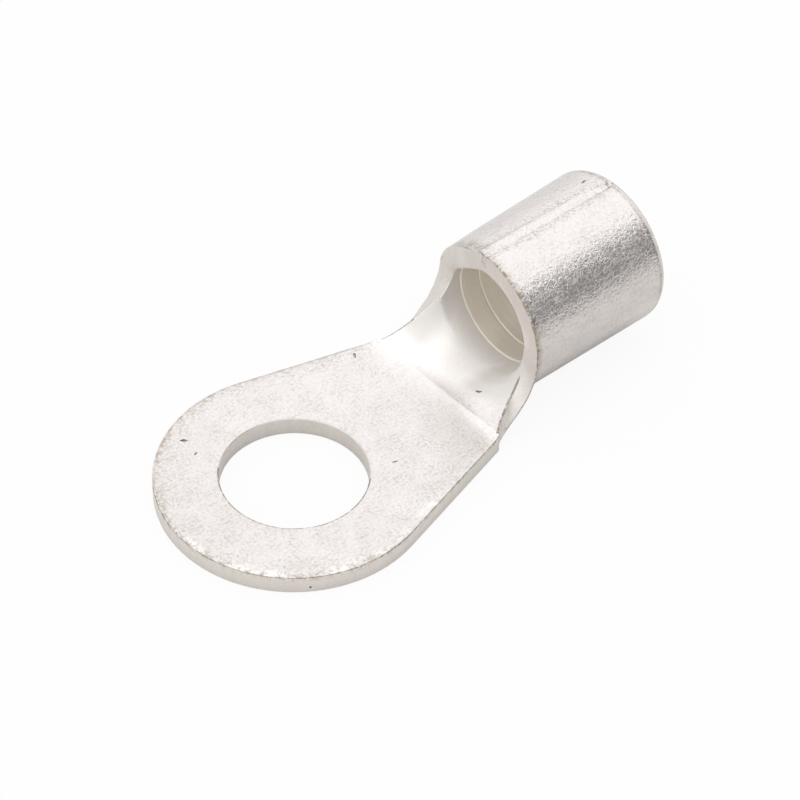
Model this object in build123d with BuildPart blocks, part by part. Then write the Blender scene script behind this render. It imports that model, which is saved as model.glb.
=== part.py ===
"""A ring terminal: a flat stud ring and tongue whose tail rolls up into a wire barrel brazed along its top.

Millimetres. The origin is the centre of the stud hole on the underside of the tongue, +X runs
towards the barrel and +Z is up. Left is +Y, seen from the ring towards the barrel.
"""
import os
from math import cos, degrees, pi, radians, sin, sqrt, tan

from build123d import *

# The sheet and its stud end
sheet = 1.5                  # thickness of the tongue and of the barrel wall
stud_hole = 10.5             # diameter of the hole
ring_across = 19.75          # outside diameter of the ring
tongue_taper = 15.5          # lean of each straight side of the tongue, degrees
crease_x = 13.35             # where the flat tongue ends and the sheet starts to roll up
tongue_edge_round = 0.18     # rounding of the upper outline, on the punch side

# The rolled barrel
barrel_across = 12.0         # outside diameter
barrel_end_x = 29.95         # wire end of the barrel
barrel_end_round = 0.8       # rounding of the outer rim at the wire end

# The neck's edges: an arc cut into the blank on each side, ending in the barrel's front edge.
# The blank was rolled a little askew, so the two sides differ.
waist_half_width = 6.0       # half the narrowest width, along the sheet
left_waist_radius = 3.8      # radius of each arc
right_waist_radius = 2.6
left_waist_x = 14.8          # where each side is narrowest
right_waist_x = 14.6
left_edge_slant = 0.3        # how far the sheared edge falls back on the outside of the roll
right_edge_slant = 0.05

# The front edge of the barrel's left half: it leans forward to a blunt tip beside the seam
left_tip_x = 16.5            # foremost point
left_tip_angle = 20.0        # how far the tip's middle lies from the seam, degrees round the barrel
left_tip_spread = 8.0        # width of the tip, degrees round the barrel
left_seam_x = 16.9           # where the left half's front edge meets the seam

# The brazed seam and the grooves that grip the wire
seam_width = 0.9
seam_depth = 0.32
groove_x = 19.15             # first groove
groove_pitch = 1.8
groove_width = 0.22
groove_depth = 0.12
groove_count = 2

# How finely the rolled neck and the leaning front edge are drawn
neck_sections = 8
lean_sections = 4
lean_reach = 0.97            # share of its way back at which the leaning edge ends, in a blunt corner

outer_radius = barrel_across / 2
bore_radius = outer_radius - sheet
middle_radius = outer_radius - sheet / 2
ring_radius = ring_across / 2
axis_z = outer_radius
barrel_axis = Axis((0, 0, axis_z), (1, 0, 0))

# The sheet is fully round where the right side's arc ends; the left side's arc ends further back
barrel_start_x = right_waist_x + right_waist_radius
left_front_x = left_waist_x + left_waist_radius
left_front_angle = (waist_half_width + left_waist_radius) / middle_radius
tip_high_angle = pi - radians(left_tip_angle - left_tip_spread / 2)
tip_low_angle = pi - radians(left_tip_angle + left_tip_spread / 2)

# Where the tongue's straight side leaves the ring, and its half width at the crease
side_x = ring_radius * sin(radians(tongue_taper))
side_y = ring_radius * cos(radians(tongue_taper))
tongue_end_half = side_y - (crease_x - side_x) * tan(radians(tongue_taper))


def half_width(x, waist_x, waist_radius):
    """Half the blank's width at x, along the sheet, on a side with that waist."""
    return waist_half_width + waist_radius - sqrt(max(0, waist_radius**2 - (x - waist_x) ** 2))


def cross_plane(x):
    """A plane across the part at x: its own x is +Y and its own y is +Z."""
    return Plane(origin=(x, 0, 0), x_dir=(0, 1, 0), z_dir=(1, 0, 0))


def about_axis(radius, angle):
    """A point of a cross plane about the barrel's axis, the angle counted from the bottom to the left."""
    return Vector(radius * sin(angle), axis_z - radius * cos(angle))


def lean_angle(x):
    """Where the left half's leaning front edge is at x, the angle counted as in about_axis."""
    share = (left_front_x - x) / (left_front_x - left_tip_x)
    return left_front_angle + share * (tip_low_angle - left_front_angle)


with BuildPart() as ring_terminal:
    # Flat tongue: the ring, its two tangent sides and the stud hole
    with BuildSketch():
        with BuildLine():
            ring_arc = ThreePointArc((side_x, side_y), (-ring_radius, 0), (side_x, -side_y))
            tongue_end = Line((crease_x, tongue_end_half), (crease_x, -tongue_end_half))
            Line(ring_arc @ 0, tongue_end @ 0)
            Line(ring_arc @ 1, tongue_end @ 1)
        make_face()
        Circle(stud_hole / 2, mode=Mode.SUBTRACT)
    extrude(amount=sheet)
    top_edges = ring_terminal.faces().sort_by(Axis.Z)[-1].edges()
    ring_rim = top_edges.filter_by(GeomType.CIRCLE).sort_by(SortBy.RADIUS)[-1]
    straight_sides = top_edges.filter_by(GeomType.LINE).sort_by(Axis.X)[:2]
    fillet([ring_rim] + straight_sides, radius=tongue_edge_round)

    # Neck: its curvature grows evenly from flat to round, its edges following the waist arcs
    for section in range(neck_sections + 1):
        share = section / neck_sections
        station = crease_x + share * (barrel_start_x - crease_x)
        left = half_width(station, left_waist_x, left_waist_radius)
        right = half_width(station, right_waist_x, right_waist_radius)
        with BuildSketch(cross_plane(station)):
            with BuildLine():
                if section == 0:
                    Polyline((-right, 0), (left, 0), (left, sheet), (-right, sheet), close=True)
                else:
                    bend = middle_radius / share
                    bend_centre = (0, bend + sheet / 2)
                    from_angle = -90 - degrees(right / bend)
                    spread = degrees((left + right) / bend)
                    right_slant = degrees(right_edge_slant * share / bend)
                    left_slant = degrees(left_edge_slant * share / bend)
                    under_spread = spread - right_slant - left_slant
                    over = CenterArc(bend_centre, bend - sheet / 2, from_angle, spread)
                    under = CenterArc(bend_centre, bend + sheet / 2, from_angle + right_slant, under_spread)
                    Line(under @ 0, over @ 0)
                    Line(under @ 1, over @ 1)
            make_face()
    loft()

    # Barrel
    with BuildSketch(cross_plane(barrel_start_x)):
        with Locations((0, axis_z)):
            Circle(outer_radius)
            Circle(bore_radius, mode=Mode.SUBTRACT)
    extrude(amount=barrel_end_x - barrel_start_x)
    end_rims = ring_terminal.faces().sort_by(Axis.X)[-1].edges().sort_by(SortBy.RADIUS)
    fillet(end_rims[-1], radius=barrel_end_round)

    # The left half's tip, in front of the rest of the barrel
    tip_sections = (
        (left_tip_x, tip_low_angle, tip_high_angle),
        (left_seam_x, lean_angle(left_seam_x), pi),
        (barrel_start_x, lean_angle(barrel_start_x), pi),
    )
    for station, low_angle, high_angle in tip_sections:
        half_way = (low_angle + high_angle) / 2
        with BuildSketch(cross_plane(station)):
            with BuildLine():
                low = Line(about_axis(bore_radius, low_angle), about_axis(outer_radius, low_angle))
                high = Line(about_axis(bore_radius, high_angle), about_axis(outer_radius, high_angle))
                ThreePointArc(low @ 0, about_axis(bore_radius, half_way), high @ 0)
                ThreePointArc(low @ 1, about_axis(outer_radius, half_way), high @ 1)
            make_face()
    loft(ruled=True)

    # Left front edge: the waist arc runs on up the wall, then the edge leans forward to the tip
    for section in range(lean_sections + 1):
        share = lean_reach * section / lean_sections
        station = barrel_start_x + share * (left_front_x - barrel_start_x)
        low_angle = half_width(station, left_waist_x, left_waist_radius) / middle_radius
        high_angle = lean_angle(station)
        inner_corner = about_axis(bore_radius, low_angle)
        outer_corner = about_axis(outer_radius, low_angle - left_edge_slant / middle_radius)
        beyond = (outer_corner - inner_corner) / 2
        inside = bore_radius - sheet / 2
        outside = outer_radius + sheet / 2
        half_way = (low_angle + high_angle) / 2
        with BuildSketch(cross_plane(station)):
            with BuildLine():
                low = Line(inner_corner - beyond, outer_corner + beyond)
                high = Line(about_axis(inside, high_angle), about_axis(outside, high_angle))
                ThreePointArc(low @ 0, about_axis(inside, half_way), high @ 0)
                ThreePointArc(low @ 1, about_axis(outside, half_way), high @ 1)
            make_face()
    loft(mode=Mode.SUBTRACT)

    # Brazed seam: a shallow V along the top
    seam_half = seam_width / 2
    with BuildSketch(cross_plane(crease_x)):
        with Locations((0, barrel_across)):
            Polygon((-seam_half, 0), (0, -seam_depth), (seam_half, 0), (0, seam_depth), align=None)
    extrude(amount=barrel_end_x, mode=Mode.SUBTRACT)

    # Grooves round the bore
    groove_half = groove_width / 2
    with BuildSketch(Plane.XZ):
        for groove in range(groove_count):
            with Locations((groove_x + groove * groove_pitch, axis_z - bore_radius)):
                Polygon(
                    (-groove_half, 0), (0, -groove_depth), (groove_half, 0), (0, groove_depth), align=None
                )
    revolve(axis=barrel_axis, mode=Mode.SUBTRACT)

ring_terminal.part.label = "ring_terminal"
os.makedirs("parts", exist_ok=True)
export_step(ring_terminal.part, "parts/ring_terminal.step")
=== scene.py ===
"""A ring terminal in tin-plated copper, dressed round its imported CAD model, with a plain studio."""
from math import atan2, cos, exp, hypot, radians, sin, sqrt, tan

import bmesh
import bpy
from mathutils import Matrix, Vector


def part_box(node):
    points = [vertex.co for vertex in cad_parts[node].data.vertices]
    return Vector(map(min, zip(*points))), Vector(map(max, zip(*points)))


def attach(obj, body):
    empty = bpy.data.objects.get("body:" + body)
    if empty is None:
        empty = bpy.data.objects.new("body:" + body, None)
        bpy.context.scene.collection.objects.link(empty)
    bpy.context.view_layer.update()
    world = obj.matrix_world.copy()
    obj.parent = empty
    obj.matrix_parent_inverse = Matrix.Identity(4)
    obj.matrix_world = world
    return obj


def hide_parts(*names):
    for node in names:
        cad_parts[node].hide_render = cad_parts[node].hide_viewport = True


bl_info = {
    "name": "Ring terminal",
    "version": (1, 0, 0),
    "blender": (4, 5, 0),
    "location": "3D View > Sidebar > Terminal",
    "description": "Models a rolled ring terminal in tin-plated copper and sets a plain studio for it",
    "category": "Object",
}

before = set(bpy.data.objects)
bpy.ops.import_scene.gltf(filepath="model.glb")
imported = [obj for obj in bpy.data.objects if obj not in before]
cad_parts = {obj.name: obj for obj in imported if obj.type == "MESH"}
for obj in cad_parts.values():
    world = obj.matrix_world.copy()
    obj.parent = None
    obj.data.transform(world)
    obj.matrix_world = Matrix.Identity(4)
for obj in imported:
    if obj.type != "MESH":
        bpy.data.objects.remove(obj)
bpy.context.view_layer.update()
NODE = "ring_terminal"
BODY = "root"
MM = 0.001
LOW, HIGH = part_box(NODE)
AXIS_Z = HIGH.z / 2
RING = -LOW.x

# Points that are closer than this are one point
WELD = 0.001 * MM

# Order of the terminal's material slots
PLATE, ROLLED, SHEAR, ARRIS, BORE, DISH = range(6)

# Pits in the plating: each one's middle and half its width, in millimetres, and the way it runs, in degrees
PITS = (
    ((-4.0, 7.35, 1.5), 0.17, -45),
    ((-4.15, 5.8, 1.5), 0.10, 20),
    ((10.8, 6.3, 1.5), 0.15, 60),
    ((15.05, -2.4, 1.76), 0.16, -70),
    ((6.1, -3.7, 1.5), 0.12, -20),
    ((-5.4, -8.3, 0.5), 0.13, 30),
    ((28.1, 1.46, 11.82), 0.16, 10),
)

# Where the sheet is cut, in millimetres: across, before and after its edges are broken, and lengthwise at the crease
CUTS = (7.0, 10.5, 12.45, 12.75, 13.05, 16.2, 19.6, 20.4, 21.6, 23.0, 24.5, 26.5, 29.0)
MOUTH_CUTS = (16.75, 17.45, 17.85, 18.4)
CREASE_CUTS = (-5.2, -4.2, -3.1, -2.1, -1.0, 1.0, 2.1, 3.1, 4.2, 5.2)

# How many rings the sinking top of the punched outline is made in
DIE_ROLL_RINGS = 3

# The braze: its grid, how far from its rear end it steps down, in millimetres, each step's height, and the
# shape of the lump that closes its front
BRAZE_ROWS, BRAZE_COLUMNS = 72, 14
BRAZE_STEPS, BRAZE_STEP = (2.4, 1.6, 0.9, 0.4), 0.05 * MM
LUMP_SHAPE = (0.40, 0.56, 0.76)

# The floor: its width in metres, and how much it glows to the camera and in reflections
FLOOR_WIDTH = 0.7
GLOW_SEEN, GLOW_MIRRORED = 0.92, 0.1

# The tent of light: its strength at the sides and overhead, and the dark gap in it, with its soft edge
TENT_SIDES, TENT_TOP = 0.99, 1.26
GAP_TURN, GAP_RISE = radians(-57), radians(14)
GAP_OUTER, GAP_INNER, GAP_LIGHT = radians(33), radians(28), 0.33

# The lamp overhead: its place and its width in metres, and its power in watts
LAMP_PLACE, LAMP_WIDTH, LAMP_POWER = (-0.05, -0.02, 0.42), 0.34, 0.55


class TerminalSizes(bpy.types.PropertyGroup):
    """Places on the terminal, in its own frame, and the small shapes that are added to it."""
    crease_x: bpy.props.FloatProperty(
        name="Crease", description="Where the flat tongue ends and the sheet starts to roll up",
        default=13.35 * MM, subtype="DISTANCE", unit="LENGTH")
    barrel_x: bpy.props.FloatProperty(
        name="Barrel start", description="Where the sheet is fully round",
        default=17.2 * MM, subtype="DISTANCE", unit="LENGTH")
    sheet: bpy.props.FloatProperty(
        name="Sheet", description="Thickness of the metal",
        default=1.5 * MM, subtype="DISTANCE", unit="LENGTH")
    stud_hole: bpy.props.FloatProperty(
        name="Stud hole", description="Diameter of the hole in the tongue",
        default=10.5 * MM, subtype="DISTANCE", unit="LENGTH")
    taper: bpy.props.FloatProperty(
        name="Tongue taper", description="Lean of each straight side of the tongue",
        default=radians(15.5), subtype="ANGLE", unit="ROTATION")
    arris: bpy.props.FloatProperty(
        name="Arris", description="How far the worn edges are broken back from the corner",
        default=0.12 * MM, subtype="DISTANCE", unit="LENGTH")
    die_roll: bpy.props.FloatProperty(
        name="Die roll", description="How far the punched outline's top sinks at its edge",
        default=0.05 * MM, subtype="DISTANCE", unit="LENGTH")
    die_roll_width: bpy.props.FloatProperty(
        name="Die roll width", description="How far in from the outline the top starts to sink",
        default=0.9 * MM, subtype="DISTANCE", unit="LENGTH")
    crease_rise: bpy.props.FloatProperty(
        name="Crease rise", description="How far the crease stands up where it is sharpest",
        default=0.025 * MM, subtype="DISTANCE", unit="LENGTH")
    crease_round: bpy.props.FloatProperty(
        name="Crease round", description="How far to each side of the crease the fold is rounded",
        default=0.9 * MM, subtype="DISTANCE", unit="LENGTH")
    press: bpy.props.FloatProperty(
        name="Press", description="How far the left shoulder of the mouth is pressed in",
        default=0.48 * MM, subtype="DISTANCE", unit="LENGTH")
    press_turn: bpy.props.FloatProperty(
        name="Press turn", description="How far from the seam the shoulder is pressed in most",
        default=radians(48), subtype="ANGLE", unit="ROTATION")
    seam_width: bpy.props.FloatProperty(
        name="Seam width", description="Width of the braze in the barrel's seam",
        default=1.4 * MM, subtype="DISTANCE", unit="LENGTH")
    seam_dip: bpy.props.FloatProperty(
        name="Seam dip", description="How far the braze lies below the barrel's surface in its valley",
        default=0.11 * MM, subtype="DISTANCE", unit="LENGTH")
    seam_valley: bpy.props.FloatProperty(
        name="Seam valley",
        description="How far left of the middle the braze is lowest, below zero on the right",
        default=-0.12 * MM, subtype="DISTANCE", unit="LENGTH")
    groove_start: bpy.props.FloatProperty(
        name="Grooves from", description="Where the grooves in the bore start",
        default=18.9 * MM, subtype="DISTANCE", unit="LENGTH")
    groove_end: bpy.props.FloatProperty(
        name="Grooves to", description="Where the grooves in the bore end",
        default=21.2 * MM, subtype="DISTANCE", unit="LENGTH")


class TerminalFinish(bpy.types.PropertyGroup):
    """Colours of the metal."""
    tin: bpy.props.FloatVectorProperty(
        name="Tin", description="Clean matte tin", subtype="COLOR", size=3, min=0, max=1,
        default=(0.79, 0.748, 0.735))
    palm: bpy.props.FloatVectorProperty(
        name="Tongue", description="Matte tin on the flat tongue", subtype="COLOR", size=3, min=0, max=1,
        default=(0.754, 0.714, 0.705))
    tin_dull: bpy.props.FloatVectorProperty(
        name="Dull tin", description="Tin in the low spots of its grain", subtype="COLOR", size=3, min=0, max=1,
        default=(0.52, 0.485, 0.46))
    # Painted light as well: this paler tin is laid next to the tongue's crease, as a highlight along its outline,
    # and in the lit middle of the neck
    matte: bpy.props.FloatVectorProperty(
        name="Matte tin", description="Tin rubbed smooth in the neck", subtype="COLOR", size=3, min=0, max=1,
        default=(0.93, 0.905, 0.89))
    # Painted shade: the neck's tin made darker at its sides and towards the bore
    neck_painted_shade: bpy.props.FloatVectorProperty(
        name="Dull matte tin", description="Tin at the sides of the neck, less rubbed", subtype="COLOR", size=3,
        min=0, max=1, default=(0.70, 0.675, 0.65))
    shear: bpy.props.FloatVectorProperty(
        name="Sheared edge", description="Tin over the punched edges", subtype="COLOR", size=3, min=0, max=1,
        default=(0.82, 0.778, 0.742))
    bare: bpy.props.FloatVectorProperty(
        name="Bare edge", description="Thin or stained plating along the sharp edges", subtype="COLOR", size=3,
        min=0, max=1, default=(0.36, 0.30, 0.235))
    bore: bpy.props.FloatVectorProperty(
        name="Bore", description="Tin inside the barrel", subtype="COLOR", size=3, min=0, max=1,
        default=(0.86, 0.81, 0.72))


class StudioSettings(bpy.types.PropertyGroup):
    """The floor's colour and the camera."""
    floor: bpy.props.FloatVectorProperty(
        name="Floor", description="Colour of the floor", subtype="COLOR", size=3, min=0, max=1,
        default=(0.645, 0.64, 0.625))
    camera_place: bpy.props.FloatVectorProperty(
        name="Camera place", description="Where the camera stands",
        subtype="TRANSLATION", unit="LENGTH", size=3,
        default=(-91.123 * MM, -112.703 * MM, 151.837 * MM))
    camera_turn: bpy.props.FloatVectorProperty(
        name="Camera turn", description="How the camera is turned", subtype="EULER", unit="ROTATION", size=3,
        default=(radians(45.341), radians(-1.096), radians(-40.728)))
    camera_lens: bpy.props.FloatProperty(
        name="Camera lens", description="Focal length on a 36 mm wide frame, in millimetres", default=135.0)


def put(tree, kind, inputs=None, **settings):
    """Adds a node with its settings, and sets or links its inputs."""
    made = tree.nodes.new(kind)
    for key, value in settings.items():
        setattr(made, key, value)
    for key, value in (inputs or {}).items():
        if isinstance(value, bpy.types.NodeSocket):
            tree.links.new(value, made.inputs[key])
        else:
            made.inputs[key].default_value = value
    return made


def calc(tree, operation, a, b=0.0, c=0.0):
    """A Math node's result."""
    return put(tree, "ShaderNodeMath", {0: a, 1: b, 2: c}, operation=operation).outputs[0]


def ramp(tree, value, low, high, to_low=0.0, to_high=1.0):
    """A value mapped smoothly from one range to another, held at its ends."""
    spans = {"Value": value, "From Min": low, "From Max": high, "To Min": to_low, "To Max": to_high}
    return put(tree, "ShaderNodeMapRange", spans, interpolation_type="SMOOTHSTEP").outputs["Result"]


def blend(tree, share, a, b):
    """Two colours mixed by a share."""
    made = put(tree, "ShaderNodeMix", {"Factor": share}, data_type="RGBA")
    for socket, value in ((made.inputs[6], a), (made.inputs[7], b)):
        if isinstance(value, bpy.types.NodeSocket):
            tree.links.new(value, socket)
        else:
            socket.default_value = (*value, 1.0)
    return made.outputs[2]


def millimetres(tree, turn=0.0, stretch=(1.0, 1.0, 1.0)):
    """The piece's own coordinates in millimetres, turned about its upright axis and stretched."""
    place = put(tree, "ShaderNodeTexCoord").outputs["Object"]
    scale = tuple(s / MM for s in stretch)
    inputs = {"Vector": place, "Rotation": (0, 0, turn), "Scale": scale}
    return put(tree, "ShaderNodeMapping", inputs).outputs[0]


def along(tree):
    """The piece's own x, y and z in millimetres."""
    return put(tree, "ShaderNodeSeparateXYZ", {0: millimetres(tree)}).outputs


def outline_reach(tree, at, taper):
    """How far out towards the tongue's outline a place lies: the ring's radius on the outline itself."""
    across = calc(tree, "ABSOLUTE", at["Y"])
    square = calc(tree, "MULTIPLY_ADD", across, across, calc(tree, "MULTIPLY", at["X"], at["X"]))
    side = calc(tree, "MULTIPLY_ADD", at["X"], sin(taper), calc(tree, "MULTIPLY", across, cos(taper)))
    on_ring = calc(tree, "LESS_THAN", at["X"], calc(tree, "MULTIPLY", across, tan(taper)))
    beyond = calc(tree, "SUBTRACT", calc(tree, "SQRT", square), side)
    return calc(tree, "MULTIPLY_ADD", on_ring, beyond, side)


def cloud(tree, place, scale, detail=2.0, rough=0.5, swirl=0.0):
    """A Noise texture's value."""
    settings = {"Vector": place, "Scale": scale, "Detail": detail, "Roughness": rough, "Distortion": swirl}
    return put(tree, "ShaderNodeTexNoise", settings).outputs["Fac"]


def new_group(name, inputs, outputs):
    """A shader node group with float inputs, given with their defaults, and float outputs."""
    group = bpy.data.node_groups.new(name, "ShaderNodeTree")
    for label, default in inputs.items():
        socket = group.interface.new_socket(label, in_out="INPUT", socket_type="NodeSocketFloat")
        socket.default_value = default
    for label in outputs:
        group.interface.new_socket(label, in_out="OUTPUT", socket_type="NodeSocketFloat")
    return group, group.nodes.new("NodeGroupInput").outputs, group.nodes.new("NodeGroupOutput").inputs


def tin_grain_group():
    """The grain of matte tin: a height for the bump, dark specks and slow changes of tone."""
    if "tin grain" in bpy.data.node_groups:
        return bpy.data.node_groups["tin grain"]
    group, given, result = new_group("tin grain", {"Grain": 6.0, "Crackle": 0.3}, ("Height", "Specks", "Tone"))
    place = millimetres(group)
    grain = cloud(group, place, given["Grain"], 2.0, 0.65, 0.9)
    cell_scale = calc(group, "MULTIPLY", given["Grain"], 0.6)
    drift = put(group, "ShaderNodeTexNoise", {"Vector": place, "Scale": 2.5, "Detail": 2.0}).outputs["Color"]
    warped = put(group, "ShaderNodeVectorMath", {0: drift, 1: (0.4, 0.4, 0.4), 2: place},
                 operation="MULTIPLY_ADD").outputs[0]
    cells = put(group, "ShaderNodeTexVoronoi", {"Vector": warped, "Scale": cell_scale},
                feature="DISTANCE_TO_EDGE").outputs["Distance"]
    ridge = calc(group, "MULTIPLY", ramp(group, cells, 0.0, 0.18), given["Crackle"])
    group.links.new(calc(group, "ADD", grain, ridge), result["Height"])
    specks = ramp(group, cloud(group, place, 4.6, 3.0, 0.7), 0.38, 0.72)
    patches = ramp(group, cloud(group, place, 0.9, 3.0), 0.40, 0.62, 0.55, 1.0)
    group.links.new(calc(group, "MULTIPLY", specks, patches), result["Specks"])
    group.links.new(ramp(group, cloud(group, place, 0.42, 3.0), 0.35, 0.65), result["Tone"])
    return group


def scratch_group():
    """Fine scratches of handling, as a mask."""
    if "scratches" in bpy.data.node_groups:
        return bpy.data.node_groups["scratches"]
    group, given, result = new_group("scratches", {"Amount": 0.5}, ("Scratch",))
    lines = 0.0
    for turn in (radians(24), radians(-37), radians(81)):
        field = cloud(group, millimetres(group, turn, (0.22, 5.0, 5.0)), 1.0, 1.0)
        off = calc(group, "ABSOLUTE", calc(group, "SUBTRACT", field, 0.5))
        patch = ramp(group, cloud(group, millimetres(group, turn), 0.5), 0.55, 0.66)
        line = calc(group, "MULTIPLY", ramp(group, off, 0.004, 0.014, 1.0, 0.0), patch)
        lines = calc(group, "MAXIMUM", line, lines)
    group.links.new(calc(group, "MULTIPLY", lines, given["Amount"]), result["Scratch"])
    return group


def stain_group():
    """Ragged brown stain where the plating is thin, as a mask."""
    if "edge stain" in bpy.data.node_groups:
        return bpy.data.node_groups["edge stain"]
    group, given, result = new_group("edge stain", {"Cover": 0.5}, ("Stain",))
    ragged = cloud(group, millimetres(group), 2.6, 4.0, 0.8)
    bare = calc(group, "SUBTRACT", 1.0, given["Cover"])
    low = calc(group, "MULTIPLY_ADD", bare, 0.5, 0.18)
    high = calc(group, "ADD", low, 0.16)
    group.links.new(ramp(group, ragged, low, high), result["Stain"])
    return group


def placed(tree, group, **values):
    """A node group in a material, with its own values, and its outputs."""
    node = put(tree, "ShaderNodeGroup", node_tree=group)
    for label, value in values.items():
        node.inputs[label].default_value = value
    return node.outputs


def new_metal(name, relief):
    """An empty metal material: its tree, its shader and its bump, with the bump's reach."""
    material = bpy.data.materials.new(name)
    material.use_nodes = True
    tree = material.node_tree
    shader = tree.nodes["Principled BSDF"]
    shader.inputs["Metallic"].default_value = 1.0
    bump = put(tree, "ShaderNodeBump", {"Strength": 1.0, "Distance": relief})
    tree.links.new(bump.outputs["Normal"], shader.inputs["Normal"])
    return material, tree, shader.inputs, bump.inputs


def plate_material(finish, taper):
    """Matte tin on the tongue: mottled with faint specks, stained round the ring, with painted light next to the
    crease, a painted highlight along its outline on the right and painted shade towards the ring's end.
    """
    material, tree, shader, bump = new_metal("tin plate", 0.014 * MM)
    grain = placed(tree, tin_grain_group(), Grain=5.0, Crackle=0.25)
    scratch = placed(tree, scratch_group(), Amount=0.5)["Scratch"]
    stain = placed(tree, stain_group(), Cover=0.46)["Stain"]
    at = along(tree)
    reach = outline_reach(tree, at, taper)
    # Painted shade: the tongue's tin is made darker towards the end of the ring, away from the barrel, to even out
    # its light; a slow random tone is added on top
    darkened = ramp(tree, at["X"], -10.0, 9.0, 0.14, 0.0)
    darkened = calc(tree, "MULTIPLY_ADD", grain["Tone"], 0.08, darkened)
    specks = calc(tree, "MULTIPLY_ADD", grain["Specks"], ramp(tree, reach, 8.0, 9.5, 0.82, 1.15), darkened)
    colour = blend(tree, specks, finish.palm, finish.tin_dull)
    # Painted light: next to the crease, where the barrel shades the tongue, its colour turns towards the neck's
    # paler tin, a little less on its right side
    next_to_crease = ramp(tree, at["X"], 10.8, 13.6, 0.0, 0.6)
    painted_light_share = calc(tree, "MULTIPLY", next_to_crease, ramp(tree, at["Y"], -4.0, 1.0, 0.9, 1.0))
    colour = blend(tree, painted_light_share, colour, finish.matte)
    # Painted highlight: paler tin along the outline on the tongue's right side, broken up by the slow tone
    right = ramp(tree, at["Y"], -2.0, 4.0, 1.0, 0.0)
    patchy = calc(tree, "MULTIPLY", right, ramp(tree, grain["Tone"], 0.2, 0.8, 0.55, 0.2))
    lit = calc(tree, "MULTIPLY", patchy, ramp(tree, reach, 9.0, 9.5))
    colour = blend(tree, lit, colour, finish.matte)
    rim = calc(tree, "MULTIPLY", ramp(tree, reach, 9.0, 9.7), ramp(tree, at["X"], -2.0, 4.0, 0.75, 0.3))
    colour = blend(tree, calc(tree, "MULTIPLY", rim, stain), colour, finish.bare)
    colour = blend(tree, calc(tree, "MULTIPLY", scratch, 0.4), colour, finish.tin_dull)
    tree.links.new(colour, shader["Base Color"])
    shader["Metallic"].default_value = 0.55
    tree.links.new(ramp(tree, grain["Tone"], 0.0, 1.0, 0.32, 0.38), shader["Roughness"])
    height = calc(tree, "MULTIPLY_ADD", cloud(tree, millimetres(tree), 0.8, 1.0), 1.5, grain["Height"])
    tree.links.new(calc(tree, "MULTIPLY_ADD", scratch, -0.8, height), bump["Height"])
    return material


def rolled_material(finish):
    """Matte tin on the outside of the roll, stained along both ends, with painted shade low on its right flank and
    painted reflection specks in the dark band above it.
    """
    material, tree, shader, bump = new_metal("rolled tin", 0.034 * MM)
    grain = placed(tree, tin_grain_group(), Grain=4.4, Crackle=0.25)
    scratch = placed(tree, scratch_group(), Amount=0.5)["Scratch"]
    stain = placed(tree, stain_group(), Cover=0.5)["Stain"]
    at = along(tree)
    x = at["X"]
    off_seam = calc(tree, "ABSOLUTE", calc(tree, "SUBTRACT", at["Y"], 0.1))
    beside = ramp(tree, off_seam, 0.65, 1.2, 0.9, 0.0)
    seam = calc(tree, "MULTIPLY", ramp(tree, off_seam, 0.3, 0.55), beside)
    seam = calc(tree, "MULTIPLY", seam, ramp(tree, at["Z"], 10.5, 11.0))
    # Painted shade: duller tin low on the barrel's right flank, added to the specks
    flank = calc(tree, "MULTIPLY", ramp(tree, at["Z"], 4.6, 6.0), ramp(tree, at["Z"], 8.2, 9.4, 1.0, 0.0))
    flank = calc(tree, "MULTIPLY", flank, ramp(tree, at["Y"], -5.2, -4.4, 0.3, 0.0))
    specks = calc(tree, "MULTIPLY_ADD", grain["Specks"], calc(tree, "ADD", seam, 0.50), flank)
    # Painted reflection: dark specks laid only in the band on the barrel's right side that reflects the dark gap in
    # the light
    band_top_edge = ramp(tree, at["Y"], -3.8, -2.8, 0.6, 0.0)
    speckle_band = calc(tree, "MULTIPLY", band_top_edge, ramp(tree, at["Y"], -5.5, -4.9))
    reflection_specks = ramp(tree, cloud(tree, millimetres(tree), 5.0, 2.0, 0.6), 0.5, 0.6)
    specks = calc(tree, "MULTIPLY_ADD", reflection_specks, speckle_band, specks)
    colour = blend(tree, specks, finish.tin, finish.tin_dull)
    colour = blend(tree, calc(tree, "MULTIPLY", scratch, 0.4), colour, finish.tin_dull)
    rim = calc(tree, "MULTIPLY", ramp(tree, x, 29.0, 29.2), ramp(tree, x, 29.25, 29.45, 1.0, 0.0))
    left_lip = calc(tree, "MULTIPLY", ramp(tree, x, 17.6, 18.9, 1.0, 0.0), ramp(tree, at["Y"], -0.3, 0.6))
    lip = calc(tree, "MAXIMUM", left_lip, ramp(tree, x, 17.3, 17.9, 1.0, 0.0))
    ends = calc(tree, "MAXIMUM", rim, lip)
    cover = calc(tree, "MULTIPLY_ADD", stain, 0.5, calc(tree, "MULTIPLY", ends, 0.2))
    stain = calc(tree, "MULTIPLY", ends, cover)
    colour = blend(tree, stain, colour, finish.bare)
    tree.links.new(colour, shader["Base Color"])
    tree.links.new(ramp(tree, grain["Tone"], 0.0, 1.0, 0.13, 0.17), shader["Roughness"])
    height = calc(tree, "MULTIPLY_ADD", cloud(tree, millimetres(tree), 1.9, 2.0), 1.2, grain["Height"])
    tree.links.new(calc(tree, "MULTIPLY_ADD", scratch, -0.25, height), bump["Height"])
    return material


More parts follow.
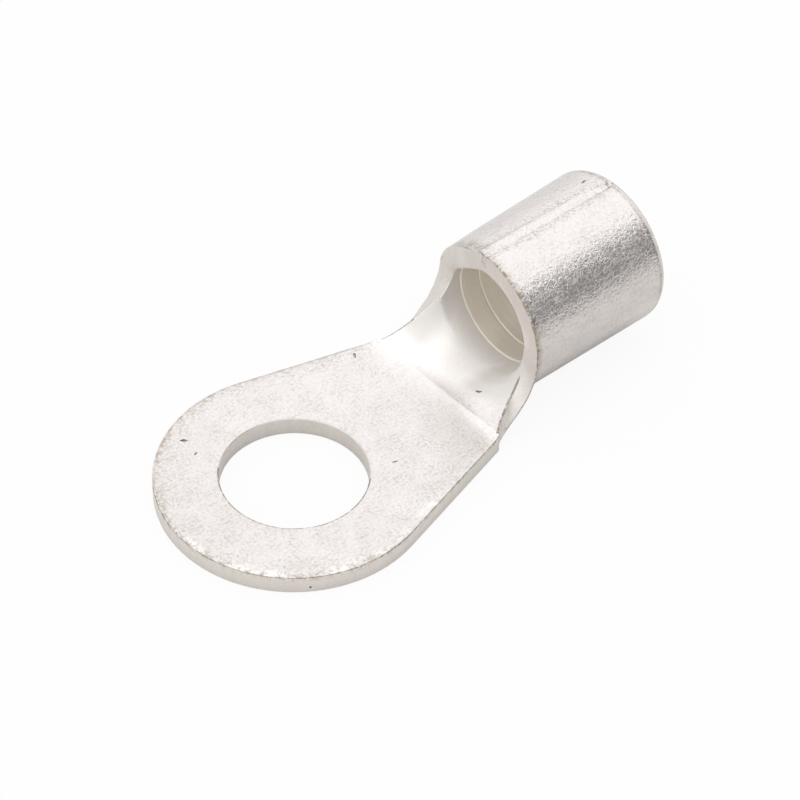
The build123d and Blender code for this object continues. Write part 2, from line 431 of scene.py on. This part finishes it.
def shear_material(finish):
    """Tin over the punched edges: smooth, with faint drag lines through the sheet."""
    material, tree, shader, bump = new_metal("sheared edge", 0.012 * MM)
    grain = placed(tree, tin_grain_group(), Grain=2.4, Crackle=0.0)
    drag = cloud(tree, millimetres(tree, 0.0, (2.2, 2.2, 0.35)), 1.0, 3.0)
    dull = calc(tree, "MULTIPLY_ADD", grain["Specks"], 0.2, calc(tree, "MULTIPLY", drag, 0.2))
    at = along(tree)
    square = calc(tree, "MULTIPLY_ADD", at["X"], at["X"], calc(tree, "MULTIPLY", at["Y"], at["Y"]))
    off_hole = calc(tree, "SQRT", square)
    below_top = ramp(tree, at["Z"], 1.7, 1.9, 0.5, 0.0)
    upper = calc(tree, "MULTIPLY", ramp(tree, at["Z"], 0.95, 1.4), below_top)
    upper = calc(tree, "MULTIPLY", upper, ramp(tree, off_hole, 5.6, 6.0))
    stain = calc(tree, "MULTIPLY", placed(tree, stain_group(), Cover=0.42)["Stain"], upper)
    in_hole = ramp(tree, off_hole, 5.6, 6.0, 0.26, 0.0)
    shaded = calc(tree, "MAXIMUM", in_hole, ramp(tree, at["Z"], 2.5, 5.0, 0.0, 0.22))
    dull = calc(tree, "ADD", dull, shaded)
    colour = blend(tree, dull, finish.shear, finish.tin_dull)
    tree.links.new(blend(tree, stain, colour, finish.bare), shader["Base Color"])
    tree.links.new(ramp(tree, drag, 0.3, 0.7, 0.34, 0.44), shader["Roughness"])
    tree.links.new(calc(tree, "MULTIPLY_ADD", drag, 0.9, grain["Height"]), bump["Height"])
    return material


def arris_material(finish):
    """The worn corners between a face and a sheared edge, stained brown where the tin is thin."""
    material, tree, shader, bump = new_metal("worn arris", 0.03 * MM)
    grain = placed(tree, tin_grain_group(), Grain=4.0, Crackle=0.2)
    stain = placed(tree, stain_group(), Cover=0.58)["Stain"]
    colour = blend(tree, calc(tree, "MULTIPLY_ADD", stain, 0.75, 0.25), finish.tin, finish.bare)
    tree.links.new(colour, shader["Base Color"])
    tree.links.new(ramp(tree, stain, 0.0, 1.0, 0.30, 0.50), shader["Roughness"])
    tree.links.new(calc(tree, "MULTIPLY_ADD", stain, -0.6, grain["Height"]), bump["Height"])
    return material


def bore_material(finish):
    """Tin inside the barrel, burnished round the axis."""
    material, tree, shader, bump = new_metal("barrel bore", 0.01 * MM)
    grain = placed(tree, tin_grain_group(), Grain=3.0, Crackle=0.0)
    rings = cloud(tree, millimetres(tree, 0.0, (4.0, 0.35, 0.35)), 1.0, 3.0)
    dull = calc(tree, "MULTIPLY_ADD", rings, 0.3, calc(tree, "MULTIPLY", grain["Tone"], 0.15))
    tree.links.new(blend(tree, dull, finish.bore, finish.tin_dull), shader["Base Color"])
    shader["Metallic"].default_value = 0.5
    tree.links.new(ramp(tree, rings, 0.3, 0.7, 0.36, 0.48), shader["Roughness"])
    tree.links.new(calc(tree, "MULTIPLY_ADD", rings, 0.8, grain["Height"]), bump["Height"])
    return material


def dish_material(finish):
    """The dished neck in front of the bore: the tongue's finish turning smoother and more matte towards the bore,
    with painted light in the middle of the neck and painted shade at its sides and towards the bore.
    """
    material, tree, shader, bump = new_metal("dished neck", 0.014 * MM)
    grain = placed(tree, tin_grain_group(), Grain=5.0, Crackle=0.25)
    scratch = placed(tree, scratch_group(), Amount=0.4)["Scratch"]
    at = along(tree)
    # The share of the neck's own finish, which carries its painted light and shade
    painted_light_share = ramp(tree, calc(tree, "MULTIPLY_ADD", at["Y"], 0.17, at["X"]), 13.0, 14.8)
    left = calc(tree, "SUBTRACT", 1.0, painted_light_share)
    # Painted shade: the neck turns to darker tin at its sides and towards the bore, and stays paler in its middle
    side = calc(tree, "ABSOLUTE", calc(tree, "SUBTRACT", at["Y"], 1.2))
    painted_shade_share = calc(tree, "MULTIPLY", ramp(tree, side, 1.4, 3.0), ramp(tree, at["X"], 13.6, 15.4))
    painted_shade_share = calc(tree, "MAXIMUM", painted_shade_share, ramp(tree, at["X"], 16.5, 19.0))
    colour = blend(tree, painted_light_share, finish.palm, blend(tree, painted_shade_share, finish.matte, finish.neck_painted_shade))
    specks = calc(tree, "MULTIPLY", grain["Specks"], calc(tree, "MULTIPLY_ADD", left, 0.60, 0.10))
    specks = calc(tree, "MAXIMUM", specks, calc(tree, "MULTIPLY", scratch, 0.3))
    tree.links.new(blend(tree, specks, colour, finish.tin_dull), shader["Base Color"])
    tree.links.new(ramp(tree, painted_light_share, 0.0, 1.0, 0.55, 0.35), shader["Metallic"])
    tree.links.new(ramp(tree, painted_light_share, 0.0, 1.0, 0.34, 0.46), shader["Roughness"])
    rough = calc(tree, "MULTIPLY_ADD", left, 0.8, 0.2)
    tree.links.new(calc(tree, "MULTIPLY", grain["Height"], rough), bump["Height"])
    return material


def only(piece):
    """Selects one object and makes it active."""
    bpy.ops.object.select_all(action="DESELECT")
    piece.select_set(True)
    bpy.context.view_layer.objects.active = piece


def pick(kind, test):
    """Selects, in edit mode, the active mesh's vertices, edges or faces that pass a test, and says how many."""
    mesh = bpy.context.object.data
    bpy.ops.mesh.select_mode(type=kind)
    bpy.ops.mesh.select_all(action="DESELECT")
    shape = bmesh.from_edit_mesh(mesh)
    parts = {"VERT": shape.verts, "EDGE": shape.edges, "FACE": shape.faces}[kind]
    chosen = [part for part in parts if test(part)]
    for part in chosen:
        part.select_set(True)
    bmesh.update_edit_mesh(mesh)
    return len(chosen)


def apply_modifier(piece, kind, **settings):
    """Adds a modifier with its settings and applies it."""
    made = piece.modifiers.new(kind.lower(), kind)
    for key, value in settings.items():
        setattr(made, key, value)
    bpy.ops.object.modifier_apply(modifier=made.name)


def share_of(value, low, high):
    """How far a value has come from a low end to a high end, from 0 to 1; the ends may be swapped."""
    return min(max((value - low) / (high - low), 0.0), 1.0)


def off_axis(place):
    """How far a point lies from the barrel's axis."""
    return hypot(place.y, place.z - AXIS_Z)


def surface_of(sizes, centre, normal):
    """Which finish a face of the terminal has, from its place and the way it faces."""
    if centre.x < sizes.crease_x:
        if abs(normal.z) > 0.75:
            return PLATE
        return SHEAR if abs(normal.z) < 0.35 else ARRIS
    if centre.x < sizes.barrel_x and centre.z < AXIS_Z:
        share = max((centre.x - sizes.crease_x) / (sizes.barrel_x - sizes.crease_x), 1e-3)
        bend = (AXIS_Z - sizes.sheet / 2) / share
        across = normal.dot(Vector((0, centre.y, centre.z - bend - sizes.sheet / 2)).normalized())
        if abs(across) < 0.6:
            return SHEAR
        return ROLLED if across > 0 else DISH
    across = normal.dot(Vector((0, centre.y, centre.z - AXIS_Z)).normalized())
    if across < -0.5 and off_axis(centre) < AXIS_Z - sizes.sheet / 2:
        return BORE if centre.x > sizes.groove_start else DISH
    return ROLLED if across > 0.45 else SHEAR


def is_arris(sizes, edge):
    """Whether an edge is a sharp corner of the sheet, and not a groove, the seam or the step at the crease."""
    if len(edge.link_faces) != 2 or edge.calc_face_angle() < radians(60):
        return False
    if all(abs(vertex.co.x - sizes.crease_x) < 0.02 * MM for vertex in edge.verts):
        return False
    middle = (edge.verts[0].co + edge.verts[1].co) / 2
    inside = off_axis(middle) < AXIS_Z - sizes.sheet / 2
    in_groove = inside and sizes.groove_start < middle.x < sizes.groove_end
    in_seam = middle.z > HIGH.z - sizes.sheet / 2 and abs(middle.y) < sizes.seam_width / 2
    return not (in_groove or in_seam)


def inside_outline(sizes, place):
    """How far in from the tongue's outline a point lies."""
    if place.x * cos(sizes.taper) < abs(place.y) * sin(sizes.taper):
        return RING - hypot(place.x, place.y)
    return RING - (place.x * sin(sizes.taper) + abs(place.y) * cos(sizes.taper))


class TERMINAL_OT_body(bpy.types.Operator):
    """Model the terminal: break its sharp edges, sink its punched outline and give each surface its finish"""
    bl_idname = "terminal.body"
    bl_label = "Terminal"

    def execute(self, context):
        sizes = context.scene.terminal_sizes
        finish = context.scene.terminal_finish
        only(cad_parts[NODE])
        bpy.ops.object.duplicate()
        body = context.object
        body.name = body.data.name = "terminal"
        body.parent = None
        for tag in list(body.keys()):
            del body[tag]
        body.data.materials.clear()
        body.data.materials.append(plate_material(finish, sizes.taper))
        for make in (rolled_material, shear_material, arris_material, bore_material, dish_material):
            body.data.materials.append(make(finish))
        bpy.ops.object.mode_set(mode="EDIT")
        bpy.ops.mesh.select_all(action="SELECT")
        bpy.ops.mesh.customdata_custom_splitnormals_clear()
        bpy.ops.mesh.remove_doubles(threshold=WELD)
        bpy.ops.mesh.dissolve_degenerate(threshold=WELD)
        bpy.ops.mesh.dissolve_limited(angle_limit=radians(0.3))
        self.slice_sheet(CUTS)
        for face in bmesh.from_edit_mesh(body.data).faces:
            face.material_index = surface_of(sizes, face.calc_center_median(), face.normal)
        self.break_edges(sizes)
        self.slice_sheet(MOUTH_CUTS)
        self.smooth_neck(sizes)
        self.press_shoulder(sizes)
        self.shape_tongue(sizes)
        bpy.ops.object.mode_set(mode="OBJECT")
        self.pit(body)
        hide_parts(NODE)
        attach(body, BODY)
        only(body)
        bpy.ops.object.shade_smooth_by_angle(angle=radians(25))
        return {"FINISHED"}

    def slice_sheet(self, places):
        """Cuts the sheet across along its length, so that its faces are short and shade evenly."""
        for place in places:
            bpy.ops.mesh.select_all(action="SELECT")
            bpy.ops.mesh.bisect(plane_co=(place * MM, 0, 0), plane_no=(1, 0, 0))

    def press_shoulder(self, sizes):
        """Draws the left front edge back, and presses its shoulder towards the axis, most at the mouth."""
        edge, front = sizes.barrel_x + 0.55 * MM, sizes.groove_start - 0.2 * MM
        draw_low, draw_high = AXIS_Z - 0.4 * MM, AXIS_Z + 1.4 * MM
        lean_end, dent_front = HIGH.x - 0.5 * MM, sizes.barrel_x + 0.3 * MM
        spread = radians(37)
        for vertex in bmesh.from_edit_mesh(bpy.context.object.data).verts:
            place = vertex.co
            if place.x < sizes.crease_x or place.z < AXIS_Z - sizes.sheet:
                continue
            if place.y > -0.01 * MM and place.x < front:
                drawn = 0.5 * share_of(place.z, draw_low, draw_high)
                place.x += drawn * (edge - place.x)
            turn = (atan2(place.y, place.z - AXIS_Z) - sizes.press_turn) / spread
            lean = sizes.press * share_of(place.x, lean_end, sizes.barrel_x)
            dent = 0.75 * sizes.press * share_of(place.x, sizes.groove_end, dent_front) ** 2
            dent *= 1 - 0.85 * share_of(off_axis(place), AXIS_Z - sizes.sheet, AXIS_Z)
            pressed = 1 - (lean + dent) * exp(-turn ** 2) / off_axis(place)
            place.y *= pressed
            place.z = AXIS_Z + (place.z - AXIS_Z) * pressed

    def smooth_neck(self, sizes):
        """Smooths the bend between the dished neck and the bore."""
        reach = 1.4 * MM

        def within(vertex):
            inner = all(face.material_index == DISH for face in vertex.link_faces)
            return inner and sizes.barrel_x - reach < vertex.co.x < sizes.barrel_x + reach

        pick("VERT", within)
        bpy.ops.mesh.vertices_smooth(factor=0.5, repeat=8)

    def break_edges(self, sizes):
        """Bevels the sharp corners into a worn arris, cleaner underneath, on far sides and round the bore."""
        pick("EDGE", lambda edge: is_arris(sizes, edge))
        bpy.ops.mesh.bevel(
            offset=sizes.arris, segments=3, affect="EDGES", clamp_overlap=False, material=ARRIS)
        for face in bmesh.from_edit_mesh(bpy.context.object.data).faces:
            middle = face.calc_center_median()
            far_rim = middle.x + middle.y > 0 and hypot(middle.x, middle.y) < sizes.stud_hole * 0.52
            far_side = middle.x < sizes.crease_x and middle.y > RING * 0.55
            inner = middle.x > sizes.barrel_x - sizes.sheet and off_axis(middle) < AXIS_Z - sizes.sheet / 2
            left = middle.x > sizes.barrel_x - sizes.sheet and middle.y > 0
            clean = far_rim or far_side or inner or left or middle.z < sizes.sheet / 4
            if face.material_index == ARRIS and clean:
                face.material_index = SHEAR

    def shape_tongue(self, sizes):
        """Insets the tongue's top, sinks it at its outline and round the hole, and rounds the crease."""
        self.cut_crease(sizes)
        fold = sizes.crease_x - sizes.crease_round

        def on_top(vertex):
            return abs(vertex.co.z - sizes.sheet) < WELD and vertex.co.x < fold + 0.01 * MM

        pick("FACE", lambda face: face.normal.z > 0.999 and face.calc_center_median().x < fold)
        ring_width = sizes.die_roll_width / DIE_ROLL_RINGS
        for _ in range(DIE_ROLL_RINGS):
            bpy.ops.mesh.inset(thickness=ring_width, depth=0, use_even_offset=False)
        drops = []
        for vertex in bmesh.from_edit_mesh(bpy.context.object.data).verts:
            rim = hypot(vertex.co.x, vertex.co.y) - sizes.stud_hole / 2
            near = min(inside_outline(sizes, vertex.co), 2 * rim)
            if on_top(vertex) and near < sizes.die_roll_width:
                drops.append((vertex, sizes.die_roll * (1 - near / sizes.die_roll_width) ** 2))
        for vertex, drop in drops:
            vertex.co.z -= drop
        self.round_crease(sizes)

    def cut_crease(self, sizes):
        """Cuts the top lengthwise next to the crease, and welds the tongue to the neck there."""
        def near_crease(face):
            ahead = (face.calc_center_median().x - sizes.crease_x) / sizes.crease_round
            return -1 < ahead < 0.33 and all(vertex.co.z > sizes.sheet * 0.95 for vertex in face.verts)

        def on_crease(vertex):
            return vertex.co.z > sizes.sheet * 0.98 and abs(vertex.co.x - sizes.crease_x) < 0.005 * MM

        for place in CREASE_CUTS:
            pick("FACE", near_crease)
            bpy.ops.mesh.bisect(plane_co=(0, place * MM, 0), plane_no=(0, 1, 0))
        pick("VERT", on_crease)
        bpy.ops.mesh.remove_doubles(threshold=0.03 * MM)

    def round_crease(self, sizes):
        """Rounds the fold at the crease, steeper towards both sides, and lifts its right half a little."""
        bend = AXIS_Z - sizes.sheet / 2
        reach = sizes.crease_round
        lift_end = 3.0 * MM
        for vertex in bmesh.from_edit_mesh(bpy.context.object.data).verts:
            ahead = vertex.co.x - sizes.crease_x
            if abs(ahead) < reach and vertex.co.z > sizes.sheet * 0.9:
                across = min(abs(vertex.co.y), bend)
                slope = across ** 2 / (2 * bend * (sizes.barrel_x - sizes.crease_x))
                vertex.co.z += slope * ((ahead + reach) ** 2 / (4 * reach) - max(ahead, 0.0))
                right = share_of(vertex.co.y, lift_end, -lift_end)
                vertex.co.z += sizes.crease_rise * right * max(1 - 2 * abs(ahead) / reach, 0.0) ** 2

    def pit(self, body):
        """Cuts small uneven pits through the plating."""
        grain = bpy.data.textures.new("pit edge", "CLOUDS")
        grain.noise_scale = 0.12 * MM
        pits = []
        for middle, radius, turn in PITS:
            bpy.ops.object.select_all(action="DESELECT")
            bpy.ops.mesh.primitive_ico_sphere_add(
                subdivisions=3, radius=radius * MM, location=Vector(middle) * MM,
                rotation=(0, 0, radians(turn)), scale=(2.0, 0.9, 1.0))
            bpy.ops.object.transform_apply(location=True)
            apply_modifier(bpy.context.object, "DISPLACE", texture=grain, texture_coords="LOCAL",
                           strength=radius * 0.9 * MM, mid_level=0.75)
            pits.append(bpy.context.object)
        for piece in pits:
            piece.select_set(True)
        bpy.ops.object.join()
        cutter = bpy.context.object
        for material in body.data.materials:
            cutter.data.materials.append(material)
        for face in cutter.data.polygons:
            face.material_index = ARRIS
        only(body)
        apply_modifier(body, "BOOLEAN", object=cutter, operation="DIFFERENCE", solver="EXACT")
        only(cutter)
        bpy.ops.object.delete()


class TERMINAL_OT_braze(bpy.types.Operator):
    """Model the braze that fills the barrel's seam: an uneven strip with its valley right of the middle"""
    bl_idname = "terminal.braze"
    bl_label = "Braze"

    def execute(self, context):
        sizes = context.scene.terminal_sizes
        start = sizes.barrel_x + 0.05 * MM
        length = HIGH.x - 0.45 * MM - start
        crown, edge_sink, front_lift = 0.03 * MM, 0.12 * MM, 0.05 * MM
        bpy.ops.object.select_all(action="DESELECT")
        bpy.ops.mesh.primitive_grid_add(x_subdivisions=BRAZE_ROWS, y_subdivisions=BRAZE_COLUMNS, size=1.0)
        braze = context.object
        braze.name = braze.data.name = "braze"
        bpy.ops.object.mode_set(mode="EDIT")
        bpy.ops.transform.resize(value=(length, sizes.seam_width, 1))
        bpy.ops.transform.translate(value=(start + length / 2, 0, AXIS_Z))
        half = sizes.seam_width / 2
        step = sizes.seam_width / BRAZE_COLUMNS
        for column in range(BRAZE_COLUMNS + 1):
            y = -half + column * step
            pick("VERT", lambda vertex: abs(vertex.co.y - y) < step / 3)
            valley = exp(-((y - sizes.seam_valley) / (half / 2.5)) ** 2)
            edge = (abs(y) / half) ** 6
            lift = crown - sizes.seam_dip * valley - edge_sink * edge
            bpy.ops.transform.translate(value=(0, 0, sqrt(AXIS_Z ** 2 - y ** 2) + lift))
        for reach in BRAZE_STEPS:
            pick("VERT", lambda vertex: vertex.co.x > start + length - reach * MM)
            bpy.ops.transform.translate(value=(0, 0, -BRAZE_STEP))
        pick("VERT", lambda vertex: vertex.co.x < start + 0.6 * MM and abs(vertex.co.y - half / 2) < half / 2)
        bpy.ops.transform.translate(value=(0, 0, front_lift))
        bpy.ops.object.mode_set(mode="OBJECT")
        flow = bpy.data.textures.new("braze flow", "CLOUDS")
        flow.noise_scale = 0.55 * MM
        apply_modifier(braze, "DISPLACE", texture=flow, texture_coords="LOCAL", direction="Z",
                       strength=0.12 * MM, mid_level=0.58)
        apply_modifier(braze, "SOLIDIFY", thickness=0.15 * MM, offset=-1.0)
        bpy.ops.object.select_all(action="DESELECT")
        lump_place = (sizes.barrel_x + 0.35 * MM, -0.1 * MM, HIGH.z - 0.75 * MM)
        bpy.ops.mesh.primitive_ico_sphere_add(
            subdivisions=4, radius=1.0 * MM, location=lump_place, scale=LUMP_SHAPE)
        bpy.ops.object.transform_apply()
        apply_modifier(context.object, "DISPLACE", texture=flow, texture_coords="LOCAL",
                       strength=0.12 * MM, mid_level=0.6)
        braze.select_set(True)
        context.view_layer.objects.active = braze
        bpy.ops.object.join()
        braze.data.materials.append(bpy.data.materials["rolled tin"])
        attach(braze, BODY)
        only(braze)
        bpy.ops.object.shade_smooth_by_angle(angle=radians(40))
        return {"FINISHED"}


class TERMINAL_OT_stage(bpy.types.Operator):
    """Set the floor, the light and the camera"""
    bl_idname = "terminal.stage"
    bl_label = "Stage"

    def execute(self, context):
        studio = context.scene.terminal_studio
        scene = context.scene
        scene.view_settings.view_transform = "Standard"

        bpy.ops.object.select_all(action="DESELECT")
        bpy.ops.mesh.primitive_plane_add(size=FLOOR_WIDTH, location=(0, 0, LOW.z - 0.02 * MM))
        floor = context.object
        floor.name = "floor"
        bpy.ops.object.transform_apply(location=True)
        material = bpy.data.materials.new("floor")
        material.use_nodes = True
        tree = material.node_tree
        tree.nodes.clear()
        rays = put(tree, "ShaderNodeLightPath").outputs
        paper = put(tree, "ShaderNodeBsdfDiffuse", {"Color": (*studio.floor, 1)}).outputs[0]
        glow = put(tree, "ShaderNodeEmission", {"Color": (1, 1, 1, 1), "Strength": 1.0}).outputs[0]
        seen = calc(tree, "MULTIPLY", rays["Is Camera Ray"], GLOW_SEEN)
        mirrored = calc(tree, "MAXIMUM", rays["Is Glossy Ray"], rays["Is Transmission Ray"])
        share = calc(tree, "MAXIMUM", seen, calc(tree, "MULTIPLY", mirrored, GLOW_MIRRORED))
        mixed = put(tree, "ShaderNodeMixShader", {0: share, 1: paper, 2: glow}).outputs[0]
        put(tree, "ShaderNodeOutputMaterial", {"Surface": mixed})
        floor.data.materials.append(material)

        world = bpy.data.worlds.new("studio")
        scene.world = world
        world.use_nodes = True
        tree = world.node_tree
        tree.nodes.clear()
        way = put(tree, "ShaderNodeTexCoord").outputs["Generated"]
        height = put(tree, "ShaderNodeSeparateXYZ", {0: way}).outputs["Z"]
        tent = ramp(tree, height, 0.25, 0.50, TENT_SIDES, TENT_TOP)
        gap = (cos(GAP_RISE) * cos(GAP_TURN), cos(GAP_RISE) * sin(GAP_TURN), sin(GAP_RISE))
        near = put(tree, "ShaderNodeVectorMath", {0: way, 1: gap}, operation="DOT_PRODUCT").outputs["Value"]
        dimmed = ramp(tree, near, cos(GAP_OUTER), cos(GAP_INNER), 1.0, GAP_LIGHT)
        light = calc(tree, "MULTIPLY", tent, dimmed)
        rays = put(tree, "ShaderNodeLightPath").outputs
        seen = calc(tree, "MAXIMUM", rays["Is Camera Ray"], rays["Is Transmission Ray"])
        unseen = calc(tree, "SUBTRACT", 1.0, seen)
        strength = calc(tree, "ADD", calc(tree, "MULTIPLY", light, unseen), seen)
        shown = put(tree, "ShaderNodeBackground", {"Color": (1, 1, 1, 1), "Strength": strength}).outputs[0]
        put(tree, "ShaderNodeOutputWorld", {"Surface": shown})

        bpy.ops.object.light_add(type="AREA", location=LAMP_PLACE)
        lamp = context.object
        lamp.name = "overhead softbox"
        lamp.data.shape = "SQUARE"
        lamp.data.size = LAMP_WIDTH
        lamp.data.energy = LAMP_POWER
        lamp.visible_camera = False
        lamp.visible_glossy = False

        bpy.ops.object.camera_add(location=studio.camera_place, rotation=studio.camera_turn)
        camera = context.object
        camera.name = "camera"
        camera.data.sensor_width = 36.0
        camera.data.lens = studio.camera_lens
        camera.data.clip_start = 0.001
        scene.camera = camera
        return {"FINISHED"}


class TERMINAL_PT_panel(bpy.types.Panel):
    """The terminal's pieces and its stage"""
    bl_idname = "TERMINAL_PT_panel"
    bl_label = "Ring terminal"
    bl_space_type = "VIEW_3D"
    bl_region_type = "UI"
    bl_category = "Terminal"

    def draw(self, context):
        for group in SETTINGS:
            settings = getattr(context.scene, group)
            for key in settings.__annotations__:
                self.layout.prop(settings, key)
        for operator in OPERATORS:
            self.layout.operator(operator.bl_idname)


OPERATORS = (TERMINAL_OT_body, TERMINAL_OT_braze, TERMINAL_OT_stage)
SETTINGS = {
    "terminal_sizes": TerminalSizes,
    "terminal_finish": TerminalFinish,
    "terminal_studio": StudioSettings,
}


def register():
    for kind in (*SETTINGS.values(), *OPERATORS, TERMINAL_PT_panel):
        bpy.utils.register_class(kind)
    for key, kind in SETTINGS.items():
        setattr(bpy.types.Scene, key, bpy.props.PointerProperty(type=kind))


def unregister():
    for key in SETTINGS:
        delattr(bpy.types.Scene, key)
    for kind in reversed((*SETTINGS.values(), *OPERATORS, TERMINAL_PT_panel)):
        bpy.utils.unregister_class(kind)


def main():
    register()
    bpy.ops.terminal.body()
    bpy.ops.terminal.braze()
    bpy.ops.terminal.stage()


if __name__ == "__main__":
    main()
